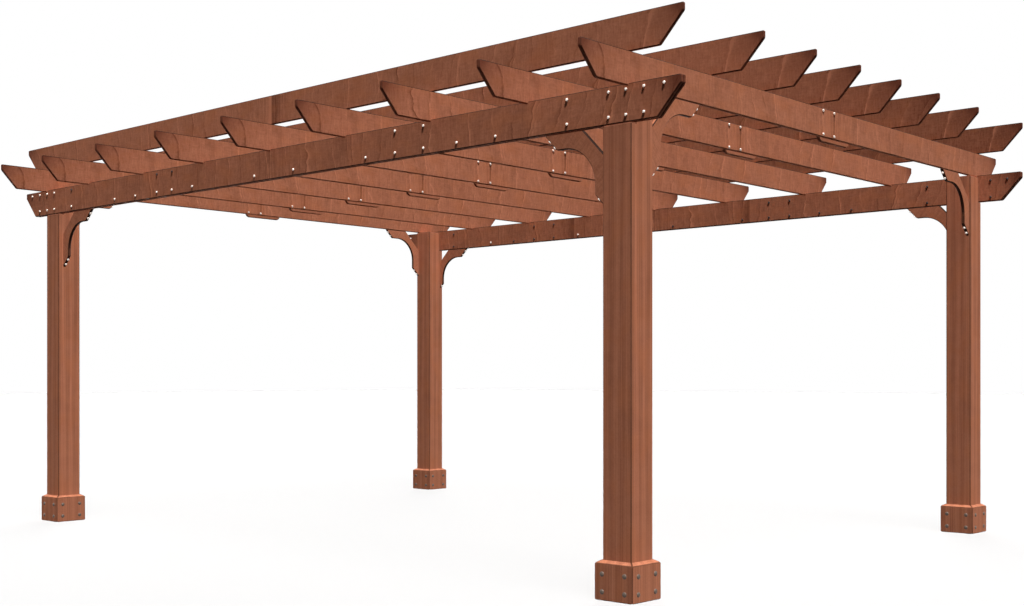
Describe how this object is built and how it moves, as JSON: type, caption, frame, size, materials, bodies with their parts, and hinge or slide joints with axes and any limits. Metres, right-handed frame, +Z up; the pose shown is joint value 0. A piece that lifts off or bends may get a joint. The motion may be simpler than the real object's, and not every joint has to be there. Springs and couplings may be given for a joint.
{
  "type": "wooden pergola",
  "caption": "Free-standing timber pergola: square posts with trimmed feet, two laminated beams, notched rafters, slats on edge and arched knee braces.",
  "frame": {"origin": "on the ground, under the middle of the whole frame's box", "axes": "+X along the beams and slats, +Y along the rafters from front to back, +Z up"},
  "size_m": [4.869, 3.725, 2.247],
  "materials": {
    "post_wood": "red-brown stain, vertical grain",
    "trim_wood": "red-brown stain, vertical grain",
    "beam_wood": "red-brown stain",
    "rafter_wood": "red-brown stain",
    "splice_wood": "red-brown stain",
    "slat_wood": "red-brown stain",
    "brace_wood": "red-brown stain",
    "zinc_screws": "bright zinc heads",
    "dark_bolts": "dark brown coach-bolt heads"
  },
  "bodies": {
    "root": {"post_front_left": "post_wood", "post_front_right": "post_wood", "post_back_left": "post_wood", "post_back_right": "post_wood", "trim_front_left": "trim_wood", "trim_front_right": "trim_wood", "trim_back_left": "trim_wood", "trim_back_right": "trim_wood", "beam_front_outer": "beam_wood", "beam_front_inner": "beam_wood", "beam_back_outer": "beam_wood", "beam_back_inner": "beam_wood", "rafter_1": "rafter_wood", "rafter_2": "rafter_wood", "rafter_3": "rafter_wood", "rafter_4": "rafter_wood", "rafter_5": "rafter_wood", "rafter_6": "rafter_wood", "rafter_7": "rafter_wood", "rafter_8": "rafter_wood", "rafter_9": "rafter_wood", "rafter_splices": "splice_wood", "slat_1": "slat_wood", "slat_2": "slat_wood", "slat_3": "slat_wood", "slat_4": "slat_wood", "slat_5": "slat_wood", "slat_6": "slat_wood", "slat_7": "slat_wood", "slat_8": "slat_wood", "beam_brace_front_left": "brace_wood", "beam_brace_front_right": "brace_wood", "beam_brace_back_left": "brace_wood", "beam_brace_back_right": "brace_wood", "rafter_brace_front_left": "brace_wood", "rafter_brace_front_right": "brace_wood", "rafter_brace_back_left": "brace_wood", "rafter_brace_back_right": "brace_wood"}
  },
  "joints": []
}
